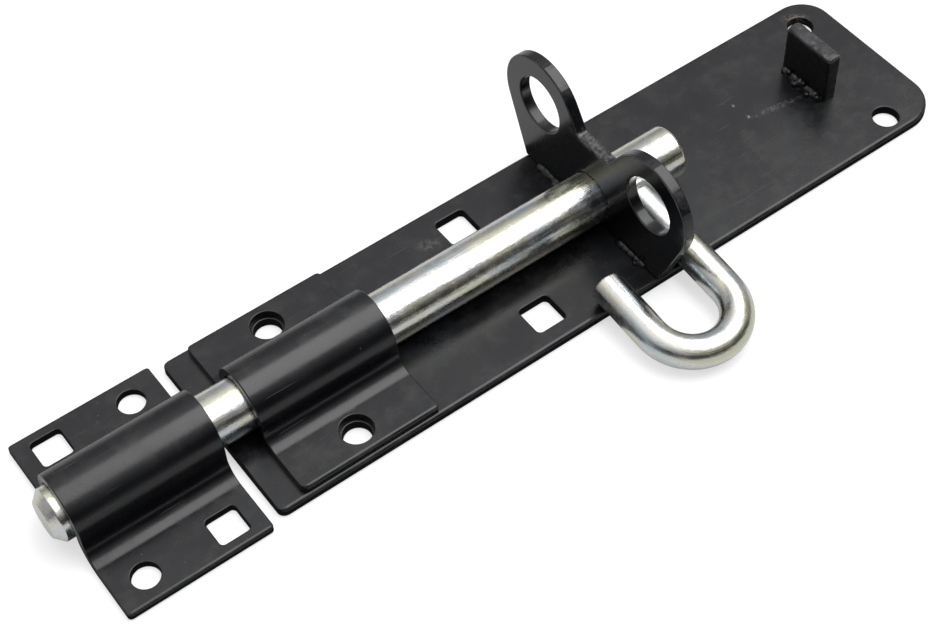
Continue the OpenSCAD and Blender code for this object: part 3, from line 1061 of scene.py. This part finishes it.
def matte(name, albedo, glow=0.0, far_glow=None):
    """A plain studio surface; far_glow keeps its distant part as pale as the backdrop."""
    t = Tree(name)
    cloud = t.noise(t.place, 3, 2)
    colour = t.mix(cloud, (albedo,) * 3, (albedo * 0.985,) * 3)
    if far_glow is not None:
        away = t.distance_to((0, 0, 0))
        colour = t.mix(t.span(away, FLOOR_LIT, FLOOR_PALE), colour, (0.0, 0.0, 0.0))
        glow = t.span(away, FLOOR_LIT, FLOOR_PALE, glow, far_glow)
    t.set(Base_Color=colour, Roughness=0.9, Specular_IOR_Level=0.1,
          Emission_Color=(1, 1, 1, 1), Emission_Strength=glow)
    return t.material


# the floor that is seen, and a greyer one just under it that is only seen mirrored in the metal
floor = plane("studio_floor", (-FLOOR_HALF, -FLOOR_HALF), (FLOOR_HALF, FLOOR_HALF), -0.0002)
floor.data.materials.append(matte("studio_floor_white", 0.42, 0.59, PALE))
floor.visible_glossy = floor.visible_shadow = False
mirrored = plane("studio_floor_mirrored", (-FLOOR_HALF, -FLOOR_HALF), (FLOOR_HALF, FLOOR_HALF), -0.0004)
mirrored.data.materials.append(matte("studio_floor_grey", 0.60))
mirrored.visible_camera = mirrored.visible_diffuse = False
# painted shadow: a black card under the object, mirrored only, stands in for the contact shadow beside
# the sheets' lower edges, so that these edges read as dark lines
shadow_card = plane("studio_painted_shadow_card", (ROD_LO[0] * MM + 0.002, -SHADOW_CARD_HALF),
             (PLATE_HI[0] * MM + 0.003, SHADOW_CARD_HALF), -0.0003)
shadow_card.data.materials.append(matte("studio_painted_shadow", 0.03))
shadow_card.visible_camera = shadow_card.visible_diffuse = shadow_card.visible_shadow = False

# a pale backdrop behind everything, seen by the camera alone
backdrop_mesh = bpy.data.meshes.new("studio_backdrop")
backdrop_skin = bmesh.new()
bmesh.ops.create_uvsphere(backdrop_skin, u_segments=48, v_segments=24, radius=BACKDROP_R)
backdrop_skin.to_mesh(backdrop_mesh)
backdrop_skin.free()
backdrop = bpy.data.objects.new("studio_backdrop", backdrop_mesh)
bpy.context.scene.collection.objects.link(backdrop)
t = Tree("studio_backdrop_pale")
t.set(Base_Color=(0, 0, 0, 1), Roughness=1.0, Emission_Color=(1, 1, 1, 1), Emission_Strength=PALE)
backdrop_mesh.materials.append(t.material)
for kind in ("diffuse", "glossy", "transmission", "shadow", "volume_scatter"):
    setattr(backdrop, "visible_" + kind, False)


def softbox(name, place, aim, size_x, size_y, radiance, glossy=True):
    light = bpy.data.lights.new(name, "AREA")
    light.shape = "RECTANGLE"
    light.size, light.size_y = size_x, size_y
    light.energy = radiance * math.pi * size_x * size_y
    obj = bpy.data.objects.new(name, light)
    obj.location = place
    obj.rotation_euler = (Vector(aim) - Vector(place)).to_track_quat("-Z", "Y").to_euler()
    obj.visible_glossy = glossy
    bpy.context.scene.collection.objects.link(obj)
    return obj


softbox("key", (0.42, -0.11, 1.10), (0.0, -0.11, 0.0), 1.1, 1.0, 3.0)
softbox("fill", (0.0, 0.0, 2.2), (0, 0, 0), 1.6, 1.6, 1.6, glossy=False)

world = bpy.data.worlds.new("studio")
bpy.context.scene.world = world
world.use_nodes = True
wt = world.node_tree
wt.nodes.clear()
coord = wt.nodes.new("ShaderNodeTexCoord")
parts = wt.nodes.new("ShaderNodeSeparateXYZ")
wt.links.new(coord.outputs["Generated"], parts.inputs[0])


def world_ramp(stops):
    node = wt.nodes.new("ShaderNodeValToRGB")
    wt.links.new(parts.outputs["Z"], node.inputs[0])
    ramp = node.color_ramp
    while len(ramp.elements) < len(stops):
        ramp.elements.new(0.5)
    for element, (at, v) in zip(ramp.elements, stops):
        element.position, element.color = at, (v, v, v * 1.02, 1)
    return node.outputs[0]


far_side = world_ramp([(0.0, 0.42), (0.25, 0.32), (0.55, 0.55), (0.80, 1.0), (1.0, 1.3)])
near_side = world_ramp([(0.0, 0.16), (0.12, 0.05), (0.42, 0.05), (0.70, 0.45), (1.0, 1.2)])
across = wt.nodes.new("ShaderNodeMapRange")
across.interpolation_type = "SMOOTHSTEP"
wt.links.new(parts.outputs["Y"], across.inputs["Value"])
across.inputs["From Min"].default_value, across.inputs["From Max"].default_value = -0.35, 0.30
blend = wt.nodes.new("ShaderNodeMix")
blend.data_type = "RGBA"
wt.links.new(across.outputs["Result"], blend.inputs[0])
wt.links.new(near_side, blend.inputs[6])
wt.links.new(far_side, blend.inputs[7])
background = wt.nodes.new("ShaderNodeBackground")
wt.links.new(blend.outputs[2], background.inputs["Color"])
wout = wt.nodes.new("ShaderNodeOutputWorld")
wt.links.new(background.outputs[0], wout.inputs[0])

# the camera's place in millimetres, its line of sight and its right-hand side
CAMERA_AT = Vector((-230.97, -285.29, 436.23))
CAMERA_SIGHT = Vector((0.34795, 0.50360, -0.79077))
CAMERA_RIGHT = Vector((0.8031, -0.5954, -0.0258))

cam_data = bpy.data.cameras.new("camera")
camera = bpy.data.objects.new("camera", cam_data)
bpy.context.scene.collection.objects.link(camera)
bpy.context.scene.camera = camera
cam_data.sensor_width = 36
cam_data.lens = 75.42
cam_data.shift_x = -0.0131
cam_data.clip_start, cam_data.clip_end = 0.01, 100
forward = CAMERA_SIGHT.normalized()
right = CAMERA_RIGHT.normalized()
above = right.cross(forward).normalized()
right = forward.cross(above).normalized()
turn = Matrix((right, above, -forward)).transposed().to_4x4()
camera.matrix_world = Matrix.Translation(CAMERA_AT * MM) @ turn

view = bpy.context.scene.view_settings
view.view_transform = "Standard"
view.look = "None"
view.exposure, view.gamma = 0.0, 1.0
